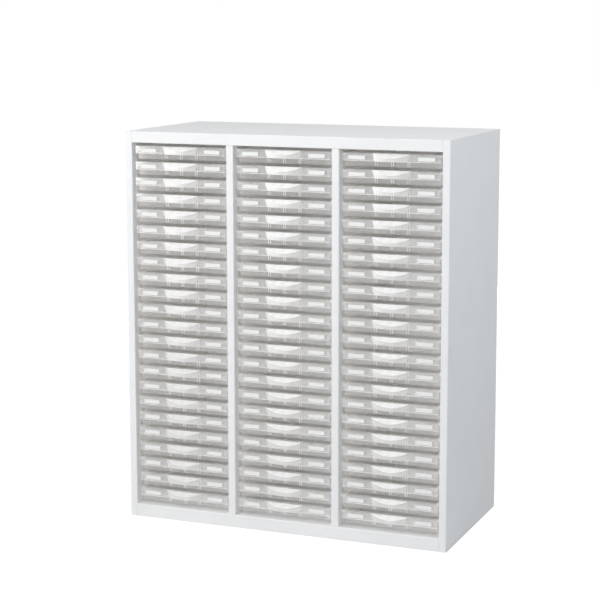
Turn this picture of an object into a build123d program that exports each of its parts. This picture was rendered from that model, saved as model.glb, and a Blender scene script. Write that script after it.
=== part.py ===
from build123d import *
import os

# Steel office cabinet with three columns of clear slide-out trays for paper.
# Origin: centre of the footprint, on the floor. +X is to the right seen from the front, +Y to the back
# and +Z up. Sizes are in millimetres.

os.makedirs("parts", exist_ok=True)

# Overall size of the cabinet
cabinet_width = 900.0
cabinet_depth = 450.0
cabinet_height = 1050.0

# Layout of the front
side_flange = 20.0
top_rail = 30.0
bottom_rail = 35.0
divider_width = 20.0
rows = 23
columns = ("left", "middle", "right")
single_rows = {"left": 11, "middle": 9, "right": 11}  # trays from the top that slide alone; the rest go in twos

# Folded sheet steel
sheet = 1.2
fold_radius = 2.0
front_return = 45.0
base_hem = 25.0

# Corner plates under the base, with a hole for a fixing bolt or a levelling screw
corner_plate = 70.0
corner_plate_sheet = 3.0
corner_hole_radius = 4.5
corner_hole_inset = 45.0

# Space around the trays
floor_gap = 9.0
ceiling_gap = 8.2
tray_gap = 7.4
front_side_gap = 7.2
rail_side_gap = 1.0
rail_rest_gap = 0.3
rail_stop_gap = 0.5

# Clear moulded tray, measured from the front of the cabinet
tray_wall = 2.0
tray_draft = 2.0
tray_length = 345.0
rim_width = 8.0
apron_setback = 8.0
apron_height = 21.0
wall_setback = 20.0

# Finger pull in the middle of the apron
pull_width = 102.0
pull_bow = 7.0
pull_side_slope = 8.0
smile_drop = 12.0

# Rail ledges
ledge_lip = 1.2
ledge_drop = 8.0

# Sizes that follow from the ones above
front = -cabinet_depth / 2
back = cabinet_depth / 2
side = cabinet_width / 2
bay_bottom = bottom_rail
bay_top = cabinet_height - top_rail
back_face = back - 2 * sheet
bay_width = (cabinet_width - 2 * side_flange - (len(columns) - 1) * divider_width) / len(columns)
bay_pitch = bay_width + divider_width
bay_centres = {name: (i - (len(columns) - 1) / 2) * bay_pitch for i, name in enumerate(columns)}
tray_pitch = (bay_top - bay_bottom - floor_gap - ceiling_gap + tray_gap) / rows
tray_height = tray_pitch - tray_gap
rim_bottom = tray_height - tray_wall
front_width = bay_width - 2 * front_side_gap
body_width = front_width - 2 * rim_width
body_back = apron_setback + tray_length
ledge_reach = (bay_width - body_width) / 2 - rail_side_gap
rail_start = wall_setback + tray_wall + rail_stop_gap


def tray_bottom(row):
    """Height of a tray's underside; row 0 is the top row."""
    return bay_top - ceiling_gap - tray_height - row * tray_pitch


def save(part, name):
    """Label a finished piece and write its file."""
    part.label = name
    export_step(part, f"parts/{name}.step")


def folded_band(low, high, front_lip, rear_lip=0):
    """Front-to-back section of a sheet folded into a fascia with a lip, a flat field and a rear flange."""
    points = [(front + front_lip, low), (front, low), (front, high), (back, high), (back, low)]
    if rear_lip:
        points.append((back - rear_lip, low))
    with BuildSketch(Plane.YZ) as section:
        with BuildLine():
            fold = FilletPolyline(*points, radius=fold_radius)
            offset(fold, amount=sheet, side=Side.RIGHT)
        make_face()
    return section.sketch


# Left side wall: outer skin, front flange with its return, rear flange, notched for the top panel
with BuildPart() as side_panel_left:
    with BuildSketch():
        with BuildLine():
            fold = FilletPolyline(
                (side_flange - side, front + front_return),
                (side_flange - side, front),
                (-side, front),
                (-side, back),
                (side_flange - side, back),
                radius=fold_radius,
            )
            offset(fold, amount=sheet, side=Side.RIGHT)
        make_face()
    extrude(amount=cabinet_height)
    with BuildSketch(Plane.XY.offset(cabinet_height)):
        Rectangle(cabinet_width - 2 * sheet, cabinet_depth - 2 * sheet)
    extrude(amount=-sheet, mode=Mode.SUBTRACT)
save(side_panel_left.part, "side_panel_left")

# Right side wall: the left one mirrored
with BuildPart() as side_panel_right:
    mirror(side_panel_left.part, about=Plane.YZ)
save(side_panel_right.part, "side_panel_right")

# Top panel: folded band between the side flanges, and a flat sheet out to the side skins
with BuildPart() as top_panel:
    extrude(folded_band(bay_top, cabinet_height, front_return), amount=side - side_flange, both=True)
    with BuildSketch(Plane.XY.offset(cabinet_height)):
        Rectangle(cabinet_width - 2 * sheet, cabinet_depth - 2 * max(sheet, fold_radius))
    extrude(amount=-sheet)
save(top_panel.part, "top_panel")

# Base: fascia, floor of the bays, rear flange, hems on the ground, and wings out to the side skins
with BuildPart() as base_panel:
    extrude(folded_band(0, bay_bottom, base_hem, base_hem), amount=side - side_flange, both=True)
    with BuildSketch(Plane.XY.offset(bay_bottom)):
        with Locations((0, (front_return + sheet - fold_radius) / 2)):
            Rectangle(cabinet_width - 2 * sheet, cabinet_depth - front_return - sheet - fold_radius)
    extrude(amount=-sheet)
save(base_panel.part, "base_panel")

# Back panel, held inside the rear flanges
with BuildPart() as back_panel:
    with BuildSketch(Plane.XZ.offset(-back_face)):
        with Locations((0, (bay_bottom + cabinet_height - sheet - fold_radius) / 2)):
            Rectangle(
                cabinet_width - 2 * (sheet + fold_radius), cabinet_height - sheet - fold_radius - bay_bottom
            )
    extrude(amount=-sheet)
save(back_panel.part, "back_panel")

# Dividers: hollow folded partitions, notched at the top for the lip of the top panel
for direction, name in ((-1, "divider_left"), (1, "divider_right")):
    with BuildPart() as divider:
        with BuildSketch(Plane.XY.offset(bay_bottom)):
            with Locations((direction * bay_pitch / 2, (front + back_face) / 2)):
                RectangleRounded(divider_width, back_face - front, fold_radius)
                Rectangle(divider_width - 2 * sheet, back_face - front - 2 * sheet, mode=Mode.SUBTRACT)
        extrude(amount=cabinet_height - sheet - bay_bottom)
        with BuildSketch(Plane.XY.offset(bay_top)):
            with Locations((0, front + front_return / 2)):
                Rectangle(cabinet_width, front_return)
        extrude(amount=top_rail, mode=Mode.SUBTRACT)
    save(divider.part, name)

# Corner plates under the base, on the hems, each with a bolt hole
with BuildPart() as corner_plates:
    plate_x = side - side_flange - corner_plate / 2
    plate_y = cabinet_depth / 2 - fold_radius - corner_plate / 2
    with BuildSketch(Plane.XY.offset(sheet)):
        with GridLocations(2 * plate_x, 2 * plate_y, 2, 2):
            Rectangle(corner_plate, corner_plate)
    extrude(amount=corner_plate_sheet)
    with GridLocations(cabinet_width - 2 * corner_hole_inset, cabinet_depth - 2 * corner_hole_inset, 2, 2):
        Hole(corner_hole_radius)
save(corner_plates.part, "corner_plates")


def rail_section(wall, inward):
    """Outline of one rail plate: a sheet against the bay wall with a sloped ledge under every rim."""
    face = wall + inward * sheet
    tip = wall + inward * ledge_reach
    points = [(wall, bay_top), (wall, bay_bottom), (face, bay_bottom)]
    for row in reversed(range(rows)):
        rest = tray_bottom(row) + rim_bottom - rail_rest_gap
        points += [(face, rest - ledge_drop), (tip, rest - ledge_lip), (tip, rest), (face, rest)]
    points += [(face, bay_top)]
    with BuildSketch(Plane.XZ.offset(-front - rail_start)) as section:
        with BuildLine():
            Polyline(*points, close=True)
        make_face()
    return section.sketch


# Rail plates: one against each wall of each bay
for inward, name in ((1, "rail_plates_left_hand"), (-1, "rail_plates_right_hand")):
    with BuildPart() as rails:
        for centre in bay_centres.values():
            extrude(
                rail_section(centre - inward * bay_width / 2, inward), amount=-(back_face - front - rail_start)
            )
    save(rails.part, name)

# Finger pull: a bowed lip with slanted ends, cut back above to a sloping face with a smile-shaped edge
with BuildPart() as pull:
    apron_bottom = tray_height - apron_height
    with BuildSketch(Plane.XY.offset(apron_bottom)):
        with BuildLine():
            bow = ThreePointArc(
                (-pull_width / 2, apron_setback),
                (0, apron_setback - pull_bow),
                (pull_width / 2, apron_setback),
            )
            Line(bow @ 1, bow @ 0)
        make_face()
    extrude(amount=apron_height)
    with BuildSketch(Plane.XZ):
        with BuildLine():
            Polyline(
                (-pull_width / 2, tray_height),
                (pull_width / 2, tray_height),
                (pull_width / 2 - pull_side_slope, apron_bottom),
                (pull_side_slope - pull_width / 2, apron_bottom),
                close=True,
            )
        make_face()
    extrude(amount=-apron_setback, mode=Mode.INTERSECT)
    with BuildSketch(Plane.YZ):
        with BuildLine():
            Polyline(
                (apron_setback, tray_height),
                (apron_setback - 2 * pull_bow, tray_height),
                (apron_setback - 2 * pull_bow, tray_height - 2 * smile_drop),
                close=True,
            )
        make_face()
    extrude(amount=pull_width, both=True, mode=Mode.SUBTRACT)

# Tray: drafted body with a rim that hangs on the rails, a front wall, and an apron in front of it
with BuildPart() as tray:
    body_middle = (body_back + wall_setback) / 2
    body_length = body_back - wall_setback
    with BuildSketch(Plane.XY.offset(tray_height)):
        with Locations((0, body_middle)):
            Rectangle(body_width, body_length)
    extrude(amount=-tray_height, taper=tray_draft)
    with BuildSketch(Plane.XY.offset(rim_bottom)):
        with Locations((0, body_middle)):
            Rectangle(front_width, body_length)
    extrude(amount=tray_wall)
    with BuildSketch(Plane.YZ):
        with BuildLine():
            Polyline(
                (wall_setback + tray_wall, 0),
                (wall_setback + tray_wall, tray_height),
                (apron_setback, tray_height),
                (apron_setback, apron_bottom),
                (apron_setback + tray_wall, apron_bottom),
                (apron_setback + tray_wall, rim_bottom),
                (wall_setback, rim_bottom),
                (wall_setback, 0),
                close=True,
            )
        make_face()
    extrude(amount=front_width / 2, both=True)
    with BuildSketch(Plane.XY.offset(tray_height)):
        with Locations((0, body_middle)):
            Rectangle(body_width - 2 * tray_wall, body_length - 2 * tray_wall)
    extrude(amount=tray_wall - tray_height, taper=tray_draft, mode=Mode.SUBTRACT)
    add(pull.part)

# Trays, one to a piece in the upper rows and two below
for column, centre in bay_centres.items():
    alone = single_rows[column]
    groups = [[row] for row in range(alone)]
    groups += [list(range(row, min(row + 2, rows))) for row in range(alone, rows, 2)]
    for group in groups:
        with BuildPart() as trays:
            with Locations(*[(centre, front, tray_bottom(row)) for row in group]):
                add(tray.part)
        numbers = "_".join(f"{row + 1:02d}" for row in group)
        save(trays.part, f"{'tray' if len(group) == 1 else 'trays'}_{column}_{numbers}")
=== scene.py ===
import math

import bmesh
import bpy
from bpy.props import FloatProperty, FloatVectorProperty, IntProperty, PointerProperty
from bpy.types import Operator, Panel, PropertyGroup
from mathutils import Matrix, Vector


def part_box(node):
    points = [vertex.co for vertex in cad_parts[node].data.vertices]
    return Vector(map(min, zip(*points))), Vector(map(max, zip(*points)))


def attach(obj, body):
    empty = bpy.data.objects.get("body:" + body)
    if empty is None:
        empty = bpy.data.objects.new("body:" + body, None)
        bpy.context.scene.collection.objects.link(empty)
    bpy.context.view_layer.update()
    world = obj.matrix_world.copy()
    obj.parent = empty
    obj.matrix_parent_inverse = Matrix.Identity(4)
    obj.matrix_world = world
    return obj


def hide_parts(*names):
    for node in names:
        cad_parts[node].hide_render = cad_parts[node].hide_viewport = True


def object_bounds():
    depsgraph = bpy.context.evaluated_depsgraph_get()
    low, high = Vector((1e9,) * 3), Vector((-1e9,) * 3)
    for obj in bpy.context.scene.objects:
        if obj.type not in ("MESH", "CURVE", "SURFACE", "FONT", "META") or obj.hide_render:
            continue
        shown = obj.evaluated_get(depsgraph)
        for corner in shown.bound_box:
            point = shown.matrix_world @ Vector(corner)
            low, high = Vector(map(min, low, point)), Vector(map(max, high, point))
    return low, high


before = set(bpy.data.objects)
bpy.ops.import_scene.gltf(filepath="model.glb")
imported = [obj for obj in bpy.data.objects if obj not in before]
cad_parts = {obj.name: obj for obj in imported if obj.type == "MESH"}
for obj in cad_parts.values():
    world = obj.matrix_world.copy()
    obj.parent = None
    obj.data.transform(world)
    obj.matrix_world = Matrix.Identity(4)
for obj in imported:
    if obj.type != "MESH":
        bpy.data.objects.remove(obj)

bl_info = {
    "name": "Paper Tray Cabinet",
    "version": (1, 0, 0),
    "blender": (4, 5, 0),
    "location": "3D View > Sidebar > Tray Cabinet",
    "description": "Finishes a steel office cabinet with three columns of clear paper trays",
    "category": "Object",
}

CABINET_LOW, CABINET_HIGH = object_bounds()
TRAY_LOW, TRAY_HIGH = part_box("tray_middle_01")

BODY, SATIN, FROSTED, FRONT = range(4)  # order of a tray's materials
THUMB_FRONT, THUMB_UP = 0.5, 0.2  # least share of a thumb face's normal to the front, and up
BEVEL_ANGLE = math.radians(35)  # a tray's edges that turn by more than this are rounded
BEVEL_SEGMENTS = 2
SHARP_ANGLE = math.radians(27)  # after that, those that turn by more than this look sharp
SAME_POINT = 0.000001  # outline points that are closer than this, in metres, are one point
CARD_CORNER = 0.0006  # radius of a label card's corners, in metres

SCREW_MARGIN = 0.08  # from the cabinet's top and foot to the nearest screw, in metres
SCREW_SIDES = 20
SCREW_SHARP_ANGLE = math.radians(35)
# Share of the head's radius out from the middle, and up from the seat
SCREW_PROFILE = ((0.0, 0.0), (1.0, 0.0), (0.98, 0.12), (0.8, 0.23), (0.45, 0.29), (0.0, 0.31))
RECESS_REACH, RECESS_HALF, RECESS_FLOOR = 0.5, 0.09, 0.13  # cross recess, in shares of the radius

NOISE_LOW, NOISE_HIGH = 0.3, 0.7  # nearly all values of a noise texture lie between these
WHITE = (1, 1, 1, 1)

# Softboxes, seen from the cabinet's middle: turn from straight ahead towards +x and rise, in
# degrees; distance; width and height, in metres; colour
LAMPS = {
    "key": ((-43.5, 1.6), 8.0, (3.8, 1.4), (1, 1, 1)),
    "top": ((-32, 50), 3.2, (1.5, 1.5), (1, 1, 1)),
    "side": ((77, 36), 2.5, (1.6, 1.6), (0.86, 0.94, 1.0)),
    "front": ((-4, 27), 3.6, (1.5, 1.5), (1, 1, 1)),
    "rear": ((-165, 0), 4.0, (2.4, 0.9), (1, 1, 1)),
}
FLOOR_REACH = 14  # half the floor's width, in metres
FLOOR_SHADOW_COLOUR = (0.35, 0.35, 0.35, 1)  # diffuse part of the floor that shows the shadow
FLOOR_NEAR, FLOOR_FAR = 1.4, 4.5  # distances between which the floor's glow rises, in metres
FLOOR_GLOW_NEAR, FLOOR_GLOW_FAR = 0.85, 1.0
CLIP_END = 60  # how far the camera sees, in metres
# Light paths long enough for many clear walls one behind the other
BOUNCES = {
    "transparent_max_bounces": 128,
    "max_bounces": 48,
    "diffuse_bounces": 32,
    "glossy_bounces": 12,
}


class ShellFinish(PropertyGroup):
    """Paint, plastic and zinc on the pieces of the cabinet's shell."""

    paint_colour: FloatVectorProperty(
        name="Paint",
        description="Powder coat on the steel sheets",
        subtype="COLOR",
        default=(0.92, 0.925, 0.93),
    )
    paint_roughness: FloatProperty(
        name="Paint roughness",
        description="How satin the powder coat is",
        default=0.42,
        min=0,
        max=1,
    )
    peel_size: FloatProperty(
        name="Orange peel",
        description="Width of the ripples in the powder coat",
        default=0.0016,
        unit="LENGTH",
    )
    peel_depth: FloatProperty(
        name="Ripple depth", description="Depth of those ripples", default=0.00002, unit="LENGTH"
    )
    rail_colour: FloatVectorProperty(
        name="Rails",
        description="Moulded plastic of the rail plates",
        subtype="COLOR",
        default=(0.93, 0.915, 0.895),
    )
    zinc_colour: FloatVectorProperty(
        name="Zinc",
        description="Plating on corner plates and screws",
        subtype="COLOR",
        default=(0.62, 0.63, 0.65),
    )
    screw_radius: FloatProperty(
        name="Screw head",
        description="Radius of the screws in the back panel",
        default=0.0036,
        unit="LENGTH",
    )
    screw_inset: FloatProperty(
        name="Screw inset",
        description="From the cabinet's side to the screws",
        default=0.028,
        unit="LENGTH",
    )
    screw_rows: IntProperty(
        name="Screws a side", description="Screws up each side of the back panel", default=6, min=2
    )


class TraySizes(PropertyGroup):
    """Sizes of one moulded tray: setbacks from the cabinet's front, drops from the tray's top."""

    wall: FloatProperty(
        name="Wall", description="Thickness of the moulding", default=0.002, unit="LENGTH"
    )
    draft: FloatProperty(
        name="Draft", description="Slope of the walls", default=math.radians(2), subtype="ANGLE"
    )
    rim: FloatProperty(
        name="Rim", description="Width of the side rims", default=0.008, unit="LENGTH"
    )
    corner: FloatProperty(
        name="Corner", description="Radius of the body's corners", default=0.01, unit="LENGTH"
    )
    base_round: FloatProperty(
        name="Base rounding", description="Radius along the underside", default=0.003, unit="LENGTH"
    )
    front_corner: FloatProperty(
        name="Front corner",
        description="Radius of the front wall's lower corners",
        default=0.006,
        unit="LENGTH",
    )
    wall_setback: FloatProperty(
        name="Wall setback",
        description="Depth of the front wall behind the frame",
        default=0.02,
        unit="LENGTH",
    )
    apron_setback: FloatProperty(
        name="Apron setback",
        description="Depth of the apron behind the frame",
        default=0.008,
        unit="LENGTH",
    )
    apron_height: FloatProperty(
        name="Apron height", description="Height of the apron", default=0.021, unit="LENGTH"
    )
    bead: FloatProperty(
        name="Bead",
        description="Radius of the bead along the apron's edge",
        default=0.0009,
        unit="LENGTH",
    )
    edge: FloatProperty(
        name="Edge", description="Rounding of the edges", default=0.0003, unit="LENGTH"
    )
    pull_width: FloatProperty(
        name="Pull width", description="Width of the finger pull", default=0.102, unit="LENGTH"
    )
    pull_bow: FloatProperty(
        name="Pull bow", description="How far the pull stands out", default=0.007, unit="LENGTH"
    )
    pull_slope: FloatProperty(
        name="Pull slope",
        description="How far the pull's ends lean in",
        default=0.008,
        unit="LENGTH",
    )
    smile_drop: FloatProperty(
        name="Smile drop",
        description="Depth of the curved edge at the middle",
        default=0.012,
        unit="LENGTH",
    )
    rib_offset: FloatProperty(
        name="Rib offset",
        description="From the middle rib pair to the outer ones",
        default=0.043,
        unit="LENGTH",
    )
    rib_gap: FloatProperty(
        name="Rib gap",
        description="Distance between the two ribs of a pair",
        default=0.0054,
        unit="LENGTH",
    )
    rib_width: FloatProperty(
        name="Rib width", description="Thickness of a rib", default=0.0014, unit="LENGTH"
    )
    rib_depth: FloatProperty(
        name="Rib depth",
        description="How far a rib stands out of the wall",
        default=0.0025,
        unit="LENGTH",
    )
    label_inset: FloatProperty(
        name="Label inset",
        description="From the tray's end to the label",
        default=0.015,
        unit="LENGTH",
    )
    label_drop: FloatProperty(
        name="Label drop",
        description="From the tray's top to the label's middle",
        default=0.012,
        unit="LENGTH",
    )
    label_width: FloatProperty(
        name="Label width", description="Width of a card", default=0.045, unit="LENGTH"
    )
    label_height: FloatProperty(
        name="Label height", description="Height of a card", default=0.01, unit="LENGTH"
    )
    card_sheet: FloatProperty(
        name="Card thickness", description="Thickness of a card", default=0.0003, unit="LENGTH"
    )
    pocket_depth: FloatProperty(
        name="Pocket depth",
        description="Depth of the recess for a card",
        default=0.0009,
        unit="LENGTH",
    )
    pocket_spare: FloatProperty(
        name="Pocket spare", description="Room around a card", default=0.0004, unit="LENGTH"
    )
    notch_width: FloatProperty(
        name="Notch width",
        description="Width of the slot beside a card",
        default=0.0022,
        unit="LENGTH",
    )


class TrayFinish(PropertyGroup):
    """Clear moulded plastic and label card."""

    plastic_colour: FloatVectorProperty(
        name="Plastic",
        description="Body colour of the clear plastic",
        subtype="COLOR",
        default=(0.99, 0.986, 0.983),
    )
    haze: FloatProperty(
        name="Haze",
        description="Share of light that one surface of the body scatters",
        default=0.03,
        min=0,
        max=1,
    )
    front_haze: FloatProperty(
        name="Front haze",
        description="Haze of the apron and the front wall",
        default=0.23,
        min=0,
        max=1,
    )
    gloss: FloatProperty(
        name="Gloss",
        description="Share mirrored by a surface that is seen squarely",
        default=0.05,
        min=0,
        max=1,
    )
    edge_gloss: FloatProperty(
        name="Edge gloss",
        description="Share mirrored where a surface is seen edge on",
        default=0.3,
        min=0,
        max=1,
    )
    gloss_roughness: FloatProperty(
        name="Gloss roughness",
        description="Blur of what the plastic mirrors",
        default=0.1,
        min=0,
        max=1,
    )
    satin_haze: FloatProperty(
        name="Satin haze", description="Haze of the bow", default=0.22, min=0, max=1
    )
    frosted_haze: FloatProperty(
        name="Frosted haze",
        description="Haze of the ribs, the bead and the face under the thumb",
        default=0.8,
        min=0,
        max=1,
    )
    satin_gloss: FloatProperty(
        name="Satin gloss",
        description="Gloss of the satin and frosted faces",
        default=0.1,
        min=0,
        max=1,
    )
    satin_roughness: FloatProperty(
        name="Satin roughness",
        description="Blur of what those faces mirror",
        default=0.38,
        min=0,
        max=1,
    )
    edge_haze: FloatProperty(
        name="Edge haze",
        description="Share scattered where a surface is seen edge on",
        default=0.12,
        min=0,
        max=1,
    )
    onward: FloatProperty(
        name="Onward",
        description="Share of the haze that goes on through",
        default=0.55,
        min=0,
        max=1,
    )
    satin_onward: FloatProperty(
        name="Satin onward",
        description="Share of the bow's haze that goes on through",
        default=0.12,
        min=0,
        max=1,
    )
    flow_depth: FloatProperty(
        name="Flow depth",
        description="Depth of the moulding's slow waves",
        default=0.00004,
        unit="LENGTH",
    )
    card_colour: FloatVectorProperty(
        name="Card", description="Matt white card", subtype="COLOR", default=(0.94, 0.94, 0.935)
    )


class StageSettings(PropertyGroup):
    """Camera, lamps and floor."""

    camera_place: FloatVectorProperty(
        name="Camera",
        description="Place of the camera",
        subtype="TRANSLATION",
        default=(1.677, -4.207, 1.355),
    )
    camera_yaw: FloatProperty(
        name="Yaw",
        description="Turn of the camera to the left",
        default=math.radians(21.71),
        subtype="ANGLE",
    )
    camera_pitch: FloatProperty(
        name="Pitch",
        description="Tilt of the camera down",
        default=math.radians(8.58),
        subtype="ANGLE",
    )
    camera_lens: FloatProperty(
        name="Lens", description="Focal length in millimetres", default=101.62
    )
    camera_shift: FloatVectorProperty(
        name="Shift", description="Offset of the picture's middle", size=2, default=(-0.025, -0.05)
    )
    key_level: FloatProperty(
        name="Key light",
        description="Brightness that it gives a white surface",
        default=0.28,
        min=0,
    )
    top_level: FloatProperty(
        name="Top light",
        description="Brightness that it gives a white surface",
        default=0.22,
        min=0,
    )
    side_level: FloatProperty(
        name="Side light",
        description="Brightness that it gives a white surface",
        default=0.3,
        min=0,
    )
    front_level: FloatProperty(
        name="Front light",
        description="Brightness that it gives a white surface",
        default=0.21,
        min=0,
    )
    rear_level: FloatProperty(
        name="Rear light",
        description="Brightness that it gives a white surface",
        default=0.35,
        min=0,
    )
    sky_level: FloatProperty(
        name="Room light", description="Brightness of the room around", default=0.26, min=0
    )
    floor_colour: FloatVectorProperty(
        name="Floor", description="Pale studio floor", subtype="COLOR", default=(0.6, 0.6, 0.6)
    )


def put(tree, kind, values=None, **options):
    """Adds a node: values holds numbers for its inputs, or the outputs that feed them."""
    node = tree.nodes.new("ShaderNode" + kind)
    for name, value in options.items():
        setattr(node, name, value)
    for name, value in (values or {}).items():
        if isinstance(value, bpy.types.NodeSocket):
            tree.links.new(value, node.inputs[name])
        else:
            node.inputs[name].default_value = value
    return node


def blank_material(name):
    """A new material with an empty node tree and its output node."""
    material = bpy.data.materials.new(name)
    material.use_nodes = True
    material.node_tree.nodes.clear()
    return material, material.node_tree, put(material.node_tree, "OutputMaterial")


def grain(tree, size, detail=2.0, roughness=0.5):
    """Noise with features of a real size, in metres, fixed to the piece."""
    place = put(tree, "TexCoord").outputs["Object"]
    values = {"Vector": place, "Scale": 1 / size, "Detail": detail, "Roughness": roughness}
    return put(tree, "TexNoise", values).outputs["Fac"]


def spread(tree, value, low, high):
    """The middle part of a noise value spread between two numbers."""
    values = {
        "Value": value,
        "From Min": NOISE_LOW,
        "From Max": NOISE_HIGH,
        "To Min": low,
        "To Max": high,
    }
    return put(tree, "MapRange", values).outputs["Result"]


def shaded(tree, colour, value, low, high):
    """A colour made lighter or darker by a noise value, from low to high times."""
    values = {0: colour, "Scale": spread(tree, value, low, high)}
    return put(tree, "VectorMath", values, operation="SCALE").outputs["Vector"]


def relief(tree, height, depth):
    """The normal of a surface with a fine relief, depth metres deep."""
    values = {"Height": height, "Distance": depth, "Strength": 1.0}
    return put(tree, "Bump", values).outputs["Normal"]


def power(tree, value, exponent):
    """A node value raised to a power."""
    return put(tree, "Math", {0: value, 1: exponent}, operation="POWER").outputs["Value"]


def principled(material, tree, output, values):
    """The material, finished with one principled surface."""
    surface = put(tree, "BsdfPrincipled", values)
    tree.links.new(surface.outputs["BSDF"], output.inputs["Surface"])
    return material


def seen_directly(tree):
    """1 for rays from the camera and rays that a clear or glossy surface sends on, else 0."""
    rays = put(tree, "LightPath").outputs
    values = {0: rays["Is Camera Ray"], 1: rays["Is Glossy Ray"]}
    seen = put(tree, "Math", values, operation="ADD").outputs["Value"]
    values = {0: seen, 1: rays["Is Transmission Ray"]}
    return put(tree, "Math", values, operation="ADD").outputs["Value"]


def painted_steel(look):
    """White powder coat: satin, with fine orange peel and faint clouding."""
    material, tree, output = blank_material("white_powder_coat")
    cloud_width, sheen_width = 0.09, 0.012
    darkest, lightest = 0.985, 1.01
    smoothest, roughest = look.paint_roughness - 0.04, look.paint_roughness + 0.05
    coat_ior = 1.48
    clouds = grain(tree, cloud_width)
    peel = grain(tree, look.peel_size, detail=1.0)
    normal = relief(tree, peel, look.peel_depth)
    values = {
        "Base Color": shaded(tree, look.paint_colour, clouds, darkest, lightest),
        "Roughness": spread(tree, grain(tree, sheen_width), smoothest, roughest),
        "IOR": coat_ior,
        "Normal": normal,
    }
    return principled(material, tree, output, values)


def rail_plastic(look):
    """Matt moulded plastic with a fine spark texture."""
    material, tree, output = blank_material("pale_moulded_plastic")
    spark_width, spark_depth, tone_width = 0.0007, 0.00003, 0.02
    darkest, lightest = 0.96, 1.03
    smoothest, roughest = 0.5, 0.62
    spark = grain(tree, spark_width, detail=3.0)
    normal = relief(tree, spark, spark_depth)
    tone = grain(tree, tone_width)
    values = {
        "Base Color": shaded(tree, look.rail_colour, tone, darkest, lightest),
        "Roughness": spread(tree, spark, smoothest, roughest),
        "Normal": normal,
    }
    return principled(material, tree, output, values)


def zinc_plating(look):
    """Zinc on steel, with the pale crystals of the plating."""
    material, tree, output = blank_material("zinc_plating")
    crystals_a_metre = 350.0
    pit_width, pit_depth = 0.0004, 0.00001
    lightest, darkest = 1.04, 0.9
    smoothest, roughest = 0.3, 0.45
    place = put(tree, "TexCoord").outputs["Object"]
    values = {"Vector": place, "Scale": crystals_a_metre}
    crystals = put(tree, "TexVoronoi", values).outputs["Distance"]
    normal = relief(tree, grain(tree, pit_width), pit_depth)
    values = {
        "Base Color": shaded(tree, look.zinc_colour, crystals, lightest, darkest),
        "Metallic": 1.0,
        "Roughness": spread(tree, crystals, smoothest, roughest),
        "Normal": normal,
    }
    return principled(material, tree, output, values)


def clear_plastic(name, look, haze, gloss, roughness, onward):
    """Clear polystyrene: a little haze, more where it is seen edge on, under a glossy skin."""
    material, tree, output = blank_material(name)
    flow_width, haze_width, gloss_width = 0.03, 0.02, 0.008
    haze_power, gloss_power = 3.0, 5.0
    haze_low, haze_high = haze * 0.9, haze * 1.1
    smoothest, roughest = roughness * 0.85, roughness * 1.15
    darkest, lightest = 0.98, 1.02
    flow = grain(tree, flow_width, detail=1.0)
    normal = relief(tree, flow, look.flow_depth)
    facing = put(tree, "LayerWeight", {"Blend": 0.5}).outputs["Facing"]
    edge_on = power(tree, facing, haze_power)
    clouded = spread(tree, grain(tree, haze_width), haze_low, haze_high)
    values = {0: edge_on, 2: clouded, 3: max(haze, look.edge_haze)}
    scattered = put(tree, "Mix", values).outputs[0]
    body = shaded(tree, look.plastic_colour, flow, darkest, lightest)
    back = put(tree, "BsdfDiffuse", {"Color": body}).outputs["BSDF"]
    beyond = put(tree, "BsdfTranslucent", {"Color": body}).outputs["BSDF"]
    cloud = put(tree, "MixShader", {0: onward, 1: back, 2: beyond}).outputs["Shader"]
    through = put(tree, "BsdfTransparent", {"Color": WHITE}).outputs["BSDF"]
    inside = put(tree, "MixShader", {0: scattered, 1: through, 2: cloud}).outputs["Shader"]
    values = {
        "Color": WHITE,
        "Roughness": spread(tree, grain(tree, gloss_width), smoothest, roughest),
        "Normal": normal,
    }
    skin = put(tree, "BsdfAnisotropic", values).outputs["BSDF"]
    rise = power(tree, facing, gloss_power)
    values = {0: rise, 2: gloss, 3: max(gloss, look.edge_gloss)}
    mirrored = put(tree, "Mix", values).outputs[0]
    surface = put(tree, "MixShader", {0: mirrored, 1: inside, 2: skin})
    tree.links.new(surface.outputs["Shader"], output.inputs["Surface"])
    return material


def label_card(look):
    """Matt white card with paper fibres."""
    material, tree, output = blank_material("white_label_card")
    fibre_width, fibre_depth = 0.0005, 0.00002
    darkest, lightest = 0.97, 1.02
    smoothest, roughest = 0.75, 0.9
    fibres = grain(tree, fibre_width, detail=4.0, roughness=0.7)
    normal = relief(tree, fibres, fibre_depth)
    values = {
        "Base Color": shaded(tree, look.card_colour, fibres, darkest, lightest),
        "Roughness": spread(tree, fibres, smoothest, roughest),
        "Normal": normal,
    }
    return principled(material, tree, output, values)


def add_object(name, data, place=(0, 0, 0)):
    """A new object in the scene."""
    item = bpy.data.objects.new(name, data)
    item.location = place
    bpy.context.scene.collection.objects.link(item)
    return item


def to_data(mesh, name):
    """Mesh data made from a bmesh, which is freed."""
    data = bpy.data.meshes.new(name)
    mesh.to_mesh(data)
    mesh.free()
    return data


def join_rings(mesh, lower, upper):
    """A band of faces between two rings of vertices that have the same count."""
    for i in range(len(lower)):
        j = (i + 1) % len(lower)
        mesh.faces.new((lower[i], lower[j], upper[j], upper[i]))


def rectangle(left, right, low, high):
    """Corners of a rectangle, from the lower left one on."""
    return [(left, low), (right, low), (right, high), (left, high)]


def rounded_rectangle(width, length, radius, steps=5):
    """Points round a rectangle with round corners, centred on the origin."""
    points = []
    for quarter, (side_x, side_y) in enumerate(((1, 1), (-1, 1), (-1, -1), (1, -1))):
        for step in range(steps + 1):
            angle = (quarter + step / steps) * math.pi / 2
            x = side_x * (width / 2 - radius) + radius * math.cos(angle)
            y = side_y * (length / 2 - radius) + radius * math.sin(angle)
            points.append((x, y))
    return points


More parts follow.
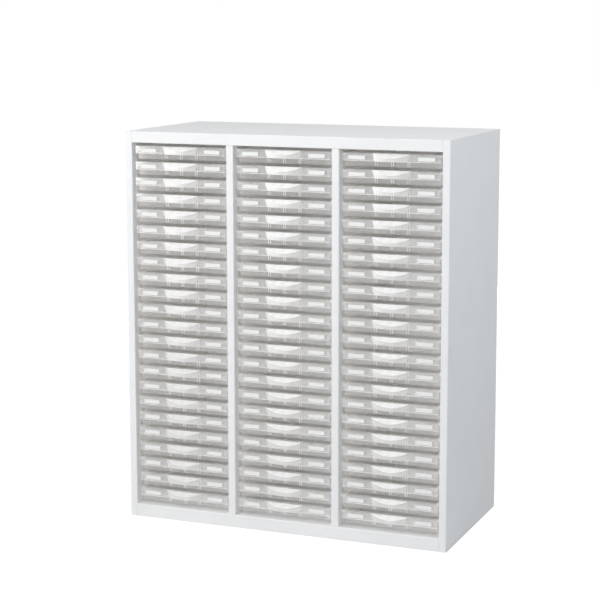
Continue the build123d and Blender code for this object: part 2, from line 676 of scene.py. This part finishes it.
def solid_through(name, rings):
    """A closed mesh object through rings of points that all have the same count."""
    mesh = bmesh.new()
    made = [[mesh.verts.new(point) for point in ring] for ring in rings]
    for lower, upper in zip(made, made[1:]):
        join_rings(mesh, lower, upper)
    mesh.faces.new(made[0])
    mesh.faces.new(made[-1])
    bmesh.ops.recalc_face_normals(mesh, faces=mesh.faces)
    return add_object(name, to_data(mesh, name))


def slab_along_x(name, outline, start, end):
    """A solid with an outline of (y, z) points, from one x to another."""
    return solid_through(name, [[(x, y, z) for y, z in outline] for x in (start, end)])


def slab_along_y(name, outline, start, end):
    """A solid with an outline of (x, z) points, from one y to another."""
    return solid_through(name, [[(x, y, z) for x, z in outline] for y in (start, end)])


def slab_along_z(name, outline, start, end):
    """A solid with an outline of (x, y) points, from one z to another."""
    return solid_through(name, [[(x, y, z) for x, y in outline] for z in (start, end)])


def settle(item):
    """Turns an object's modifiers into its own mesh."""
    shapes = bpy.context.evaluated_depsgraph_get()
    mesh = bpy.data.meshes.new_from_object(item.evaluated_get(shapes))
    item.modifiers.clear()
    item.data = mesh


def combine(target, tool, operation):
    """Joins a solid to the target, cuts it away, or keeps what they share."""
    change = target.modifiers.new("combine", "BOOLEAN")
    change.operation = operation
    change.solver = "EXACT"
    change.object = tool
    settle(target)
    bpy.data.objects.remove(tool)


def dish(name, sizes, width, length, middle, radius, top, bottom):
    """A tapering block with round corners and a round lower edge, for a tray's body or inside."""
    turn, steps = sizes.base_round, 4
    taper = (top - bottom - turn) * math.tan(sizes.draft)
    levels = [(top, 0.0)]
    for step in range(steps + 1):
        angle = step / steps * math.pi / 2
        rise = turn * (1 - math.sin(angle))
        inset = taper + turn * (1 - math.cos(angle))
        levels.append((bottom + rise, inset))
    rings = []
    for z, inset in levels:
        corner = max(radius - inset, turn)
        outline = rounded_rectangle(width - 2 * inset, length - 2 * inset, corner)
        rings.append([(x, y + middle, z) for x, y in outline])
    return solid_through(name, rings)


def pull_solid(name, sizes, top, inset):
    """The bowed pull with slanted ends and a sloping face; inset gives the hollow behind it."""
    half = sizes.pull_width / 2 - inset
    back = sizes.apron_setback + inset
    low = top - sizes.apron_height - inset
    high = top - inset
    depth = sizes.pull_bow
    radius = (half**2 + depth**2) / (2 * depth)
    reach = math.asin(half / radius)
    steps = 28
    bow = []
    for step in range(steps + 1):
        angle = -reach + 2 * reach * step / steps
        ahead = back + radius * math.cos(reach) - radius * math.cos(angle)
        bow.append((radius * math.sin(angle), ahead))
    item = slab_along_z(name, bow, low, high)
    lean = sizes.pull_slope * (high - low) / sizes.apron_height
    ends = [(-half, high), (half, high), (half - lean, low), (lean - half, low)]
    combine(item, slab_along_y("ends", ends, back - 2 * depth, back + depth), "INTERSECT")
    slope = sizes.smile_drop / depth
    shift = inset * math.hypot(1, slope)
    crown = top + slope * inset - shift
    far = back - 2 * depth
    wedge = [
        (back + depth, crown + slope * depth),
        (far, crown - slope * 2 * depth),
        (far, top + depth),
        (back + depth, top + slope * depth + depth),
    ]
    combine(item, slab_along_x("wedge", wedge, -sizes.pull_width, sizes.pull_width), "DIFFERENCE")
    return item


def tray_front(sizes, width, height):
    """Front wall with round lower corners, and the apron that stands in front of it on a shelf."""
    wall, setback, apron = sizes.wall, sizes.wall_setback, sizes.apron_setback
    lower = height - sizes.apron_height
    panel = rounded_rectangle(width, 2 * height, sizes.front_corner)
    panel = [(x, min(z + height, height)) for x, z in panel]
    front = slab_along_y("tray_front", tidy(panel), setback, setback + wall)
    profile = [
        (apron, height),
        (apron, lower),
        (apron + wall, lower),
        (apron + wall, height - wall),
        (setback + wall, height - wall),
        (setback + wall, height),
    ]
    combine(front, slab_along_x("apron", profile, -width / 2, width / 2), "UNION")
    steps = 8
    turns = [math.pi * step / steps for step in range(steps + 1)]
    bead = [
        (apron - sizes.bead * math.sin(turn), lower + sizes.bead * (1 - math.cos(turn)))
        for turn in turns
    ]
    bead += [(apron + wall / 2, bead[-1][1]), (apron + wall / 2, lower)]
    combine(front, slab_along_x("bead", bead, -width / 2, width / 2), "UNION")
    return front


def tidy(outline):
    """An outline without the points that repeat the one before."""
    before = outline[-1:] + outline[:-1]
    return [point for point, last in zip(outline, before) if math.dist(point, last) > SAME_POINT]


def label_middles(sizes, width):
    """Middle of the left and the right label card."""
    reach = width / 2 - sizes.label_inset - sizes.label_width / 2
    return -reach, reach


def add_ribs(tray, sizes, height):
    """Three pairs of upright ribs on the front wall."""
    side = sizes.rib_width / 2
    low, high = sizes.wall, height - sizes.wall / 2
    near, far = sizes.wall_setback - sizes.rib_depth, sizes.wall_setback + sizes.wall / 2
    for pair in (-sizes.rib_offset, 0, sizes.rib_offset):
        for place in (pair - sizes.rib_gap / 2, pair + sizes.rib_gap / 2):
            outline = rectangle(place - side, place + side, low, high)
            combine(tray, slab_along_y("rib", outline, near, far), "UNION")


def soften_edges(item, width):
    """Rounds an object's sharp edges."""
    soften = item.modifiers.new("soften", "BEVEL")
    soften.width = width
    soften.segments = BEVEL_SEGMENTS
    soften.limit_method = "ANGLE"
    soften.angle_limit = BEVEL_ANGLE
    settle(item)


def tray_mesh(sizes, width, length, height):
    """One moulded tray with its underside at z = 0 and the front of the cabinet at y = 0."""
    wall, setback = sizes.wall, sizes.wall_setback
    middle, reach = (setback + length) / 2, length - setback
    body_width = width - 2 * sizes.rim
    tray = dish("tray", sizes, body_width, reach, middle, sizes.corner, height, 0.0)
    rim = [(x, y + middle) for x, y in rounded_rectangle(width, reach, sizes.front_corner)]
    combine(tray, slab_along_z("rim", rim, height - wall, height), "UNION")
    combine(tray, tray_front(sizes, width, height), "UNION")
    width_inside, reach_inside = body_width - 2 * wall, reach - 2 * wall
    corner_inside, above = sizes.corner - wall, height + wall
    hollow = dish("hollow", sizes, width_inside, reach_inside, middle, corner_inside, above, wall)
    combine(tray, hollow, "DIFFERENCE")
    add_ribs(tray, sizes, height)
    combine(tray, pull_solid("pull", sizes, height, 0.0), "UNION")
    combine(tray, pull_solid("pull_hollow", sizes, height, wall), "DIFFERENCE")
    for place in label_middles(sizes, width):
        cut_pocket(tray, sizes, place, height - sizes.label_drop)
    for polygon in tray.data.polygons:
        polygon.material_index = finish_of(tray.data, polygon, sizes, height)
    soften_edges(tray, sizes.edge)
    mesh = tray.data
    mesh.name = "tray"
    mesh.shade_smooth()
    mesh.set_sharp_from_angle(angle=SHARP_ANGLE)
    bpy.data.objects.remove(tray)
    return mesh


def finish_of(mesh, polygon, sizes, height):
    """Which finish a face has. The bow is satin; the ribs, bead and thumb face are frosted."""
    corners = [mesh.vertices[i].co for i in polygon.vertices]
    across = [corner.x for corner in corners]
    nearest, farthest = min(corner.y for corner in corners), max(corner.y for corner in corners)
    highest = max(corner.z for corner in corners)
    face, slack = sizes.apron_setback, sizes.wall / 20
    within_pull = max(map(abs, across)) < sizes.pull_width / 2 + slack
    if within_pull and farthest < face + sizes.wall - slack:
        thumb_face = polygon.normal.y < -THUMB_FRONT and polygon.normal.z > THUMB_UP
        return FROSTED if thumb_face else SATIN
    at_wall = nearest > face + sizes.wall and farthest < sizes.wall_setback + slack
    if at_wall and max(across) - min(across) < sizes.rib_width + slack:
        return FROSTED
    bead_top = height - sizes.apron_height + 2 * sizes.bead
    if nearest < face - slack and highest < bead_top + slack:
        return FROSTED
    return FRONT if farthest < sizes.wall_setback + 2 * sizes.wall else BODY


def cut_pocket(tray, sizes, place, level):
    """A recess in the apron for a label card, with a slot through the apron at its right end."""
    half_width = sizes.label_width / 2 + sizes.pocket_spare
    half_height = sizes.label_height / 2 + sizes.pocket_spare
    low, high = level - half_height, level + half_height
    face = sizes.apron_setback
    right = place + half_width + sizes.notch_width
    recess = place - half_width, face + sizes.pocket_depth
    slot = place + half_width, face + 2 * sizes.wall
    for left, depth in (recess, slot):
        outline = rectangle(left, right, low, high)
        cutter = slab_along_y("pocket", outline, face - sizes.wall, depth)
        combine(tray, cutter, "DIFFERENCE")


def card_mesh(sizes, width, height):
    """The two label cards of one tray, standing in their pockets."""
    mesh = bmesh.new()
    back = sizes.apron_setback + sizes.pocket_depth - sizes.pocket_spare / 4
    front = back - sizes.card_sheet
    level = height - sizes.label_drop
    outline = rounded_rectangle(sizes.label_width, sizes.label_height, CARD_CORNER, steps=3)
    for place in label_middles(sizes, width):
        near = [mesh.verts.new((x + place, front, z + level)) for x, z in outline]
        far = [mesh.verts.new((x + place, back, z + level)) for x, z in outline]
        mesh.faces.new(near)
        mesh.faces.new(far)
        join_rings(mesh, near, far)
    bmesh.ops.recalc_face_normals(mesh, faces=mesh.faces)
    return to_data(mesh, "label_cards")


def tray_places():
    """Body, short name and origin of every tray; a body can carry two trays, one over the other."""
    height = TRAY_HIGH.z - TRAY_LOW.z
    for node in sorted(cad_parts):
        if not node.startswith("tray"):
            continue
        low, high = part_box(node)
        column, *numbers = node.split("_")[1:]
        bottoms = (high.z - height, low.z)
        for number, bottom in zip(numbers, bottoms):
            yield node, f"{column}_{number}", Vector(((low.x + high.x) / 2, CABINET_LOW.y, bottom))


def tray_size():
    """Width, rear end and height of a tray, from the frame."""
    return TRAY_HIGH.x - TRAY_LOW.x, TRAY_HIGH.y - CABINET_LOW.y, TRAY_HIGH.z - TRAY_LOW.z


class PaintShell(Operator):
    """Gives the steel sheets, the rails and the corner plates their finish"""

    bl_idname = "tray_cabinet.paint_shell"
    bl_label = "Paint the shell"

    def execute(self, context):
        look = context.scene.shell_finish
        paint, plastic, zinc = painted_steel(look), rail_plastic(look), zinc_plating(look)
        for name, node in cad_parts.items():
            if name.startswith("tray"):
                continue
            if name.startswith("rail"):
                finish = plastic
            elif name.startswith("corner"):
                finish = zinc
            else:
                finish = paint
            for slot in node.material_slots:
                slot.material = finish
        return {"FINISHED"}


class MouldTrays(Operator):
    """Makes the clear trays and hangs each on its own body"""

    bl_idname = "tray_cabinet.mould_trays"
    bl_label = "Mould the trays"

    def execute(self, context):
        mesh = tray_mesh(context.scene.tray_sizes, *tray_size())
        look = context.scene.tray_finish
        smooth = look.gloss, look.gloss_roughness
        satin = look.satin_gloss, look.satin_roughness
        finishes = {
            BODY: ("clear_polystyrene", look, look.haze, *smooth, look.onward),
            SATIN: ("satin_polystyrene", look, look.satin_haze, *satin, look.satin_onward),
            FROSTED: ("frosted_polystyrene", look, look.frosted_haze, *satin, look.onward),
            FRONT: ("front_polystyrene", look, look.front_haze, *smooth, look.onward),
        }
        for index in sorted(finishes):
            mesh.materials.append(clear_plastic(*finishes[index]))
        for node, name, place in tray_places():
            tray = add_object("moulded_tray_" + name, mesh, place)
            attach(tray, node)
            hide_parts(node)
        return {"FINISHED"}


class CutCards(Operator):
    """Puts two blank label cards in the front of every tray"""

    bl_idname = "tray_cabinet.cut_cards"
    bl_label = "Cut the label cards"

    def execute(self, context):
        width, _, height = tray_size()
        mesh = card_mesh(context.scene.tray_sizes, width, height)
        mesh.materials.append(label_card(context.scene.tray_finish))
        for node, name, place in tray_places():
            cards = add_object("label_cards_" + name, mesh, place)
            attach(cards, node)
        return {"FINISHED"}


class DriveScrews(Operator):
    """Sets pan-head screws along both sides of the back panel"""

    bl_idname = "tray_cabinet.drive_screws"
    bl_label = "Drive the screws"

    def execute(self, context):
        look = context.scene.shell_finish
        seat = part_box("back_panel")[1].y
        reach = CABINET_HIGH.x - look.screw_inset
        mesh = screw_mesh(look.screw_radius)
        mesh.materials.append(zinc_plating(look))
        gap = (CABINET_HIGH.z - CABINET_LOW.z - 2 * SCREW_MARGIN) / (look.screw_rows - 1)
        for side, x in (("left", -reach), ("right", reach)):
            for row in range(look.screw_rows):
                place = (x, seat, CABINET_LOW.z + SCREW_MARGIN + row * gap)
                screw = add_object(f"back_screw_{side}_{row + 1}", mesh, place)
                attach(screw, "cabinet")
        return {"FINISHED"}


def screw_mesh(radius):
    """A low domed head with a cross recess, its seat at y = 0 and its crown towards +y."""
    mesh = bmesh.new()
    rings = []
    for share, rise in SCREW_PROFILE:
        ring = []
        for i in range(SCREW_SIDES):
            angle = 2 * math.pi * i / SCREW_SIDES
            x, z = share * radius * math.cos(angle), share * radius * math.sin(angle)
            ring.append(mesh.verts.new((x, rise * radius, z)))
        rings.append(ring)
    for lower, upper in zip(rings, rings[1:]):
        join_rings(mesh, lower, upper)
    bmesh.ops.remove_doubles(mesh, verts=mesh.verts, dist=SAME_POINT)
    bmesh.ops.recalc_face_normals(mesh, faces=mesh.faces)
    head = add_object("screw_head", to_data(mesh, "screw"))
    long, short = RECESS_REACH * radius, RECESS_HALF * radius
    for reach, rise in ((long, short), (short, long)):
        arm = rectangle(-reach, reach, -rise, rise)
        cutter = slab_along_y("recess", arm, radius * RECESS_FLOOR, radius)
        combine(head, cutter, "DIFFERENCE")
    finished = head.data
    finished.shade_smooth()
    finished.set_sharp_from_angle(angle=SCREW_SHARP_ANGLE)
    bpy.data.objects.remove(head)
    return finished


class SetStage(Operator):
    """Lays the pale floor, hangs the soft lamps and places the camera"""

    bl_idname = "tray_cabinet.set_stage"
    bl_label = "Set the stage"

    def execute(self, context):
        stage = context.scene.stage_settings
        lay_floor(stage)
        light_room(stage)
        middle = (CABINET_LOW + CABINET_HIGH) / 2
        for name, lamp in LAMPS.items():
            hang_lamp(name + "_softbox", getattr(stage, name + "_level"), middle, *lamp)
        place_camera(stage)
        context.scene.view_settings.view_transform = "Standard"
        for limit, count in BOUNCES.items():
            setattr(context.scene.cycles, limit, count)
        return {"FINISHED"}


def lay_floor(stage):
    """A wide pale floor that reads white, with the cabinet's soft shadow on it."""
    material, tree, output = blank_material("pale_floor")
    cloud_width, darkest, lightest = 0.5, 0.99, 1.01
    seen = seen_directly(tree)
    tint = shaded(tree, stage.floor_colour, grain(tree, cloud_width), darkest, lightest)
    plain = put(tree, "BsdfDiffuse", {"Color": tint}).outputs["BSDF"]
    soft = put(tree, "BsdfDiffuse", {"Color": FLOOR_SHADOW_COLOUR}).outputs["BSDF"]
    place = put(tree, "TexCoord").outputs["Object"]
    reach = put(tree, "VectorMath", {0: place}, operation="LENGTH").outputs["Value"]
    values = {0: reach, 1: FLOOR_NEAR, 2: FLOOR_FAR, 3: FLOOR_GLOW_NEAR, 4: FLOOR_GLOW_FAR}
    level = put(tree, "MapRange", values).outputs["Result"]
    glow = put(tree, "Emission", {"Color": WHITE, "Strength": level}).outputs["Emission"]
    bright = put(tree, "AddShader", {0: soft, 1: glow}).outputs["Shader"]
    surface = put(tree, "MixShader", {0: seen, 1: plain, 2: bright})
    tree.links.new(surface.outputs["Shader"], output.inputs["Surface"])
    mesh = bmesh.new()
    corners = rectangle(-FLOOR_REACH, FLOOR_REACH, -FLOOR_REACH, FLOOR_REACH)
    mesh.faces.new([mesh.verts.new((x, y, 0)) for x, y in corners])
    data = to_data(mesh, "floor")
    data.materials.append(material)
    floor = add_object("floor", data, (0, 0, CABINET_LOW.z))


def light_room(stage):
    """Even light from the room, and white wherever the room itself is seen or mirrored."""
    world = bpy.data.worlds.new("studio")
    bpy.context.scene.world = world
    world.use_nodes = True
    tree = world.node_tree
    tree.nodes.clear()
    values = {0: seen_directly(tree), 2: stage.sky_level, 3: 1.0}
    level = put(tree, "Mix", values).outputs[0]
    light = put(tree, "Background", {"Color": WHITE, "Strength": level})
    output = put(tree, "OutputWorld")
    tree.links.new(light.outputs["Background"], output.inputs["Surface"])


def hang_lamp(name, level, target, direction, distance, size, colour):
    """A softbox that gives a white surface facing it the brightness level."""
    side, rise = map(math.radians, direction)
    across, ahead = math.sin(side) * math.cos(rise), -math.cos(side) * math.cos(rise)
    away = Vector((across, ahead, math.sin(rise)))
    lamp = bpy.data.lights.new(name, "AREA")
    lamp.shape = "RECTANGLE"
    lamp.size, lamp.size_y = size
    lamp.energy = level * math.pi**2 * distance**2
    lamp.color = colour
    item = add_object(name, lamp, target + away * distance)
    item.rotation_mode = "QUATERNION"
    item.rotation_quaternion = (-away).to_track_quat("-Z", "Y")
    item.visible_camera = False


def place_camera(stage):
    """The camera at the photograph's place, angle and framing."""
    camera = bpy.data.cameras.new("camera")
    camera.lens = stage.camera_lens
    camera.shift_x, camera.shift_y = stage.camera_shift
    camera.clip_end = CLIP_END
    item = add_object("camera", camera, stage.camera_place)
    item.rotation_euler = (math.pi / 2 - stage.camera_pitch, 0, stage.camera_yaw)
    bpy.context.scene.camera = item


class TrayCabinetPanel(Panel):
    """Lists the steps and the sizes of the tray cabinet"""

    bl_idname = "VIEW3D_PT_tray_cabinet"
    bl_label = "Tray Cabinet"
    bl_space_type = "VIEW_3D"
    bl_region_type = "UI"
    bl_category = "Tray Cabinet"

    def draw(self, context):
        layout = self.layout
        for step in STEPS:
            layout.operator(step.bl_idname)
        for group in GROUPS:
            settings = getattr(context.scene, group)
            box = layout.box()
            for name in settings.__annotations__:
                box.prop(settings, name)


STEPS = (PaintShell, MouldTrays, CutCards, DriveScrews, SetStage)
GROUPS = {
    "shell_finish": ShellFinish,
    "tray_sizes": TraySizes,
    "tray_finish": TrayFinish,
    "stage_settings": StageSettings,
}


def register():
    for name, group in GROUPS.items():
        bpy.utils.register_class(group)
        setattr(bpy.types.Scene, name, PointerProperty(type=group))
    for step in (*STEPS, TrayCabinetPanel):
        bpy.utils.register_class(step)


def unregister():
    for step in reversed((*STEPS, TrayCabinetPanel)):
        bpy.utils.unregister_class(step)
    for name, group in reversed(GROUPS.items()):
        delattr(bpy.types.Scene, name)
        bpy.utils.unregister_class(group)


def main():
    register()
    for step in STEPS:
        group, name = step.bl_idname.split(".")
        getattr(getattr(bpy.ops, group), name)()


if __name__ == "__main__":
    main()
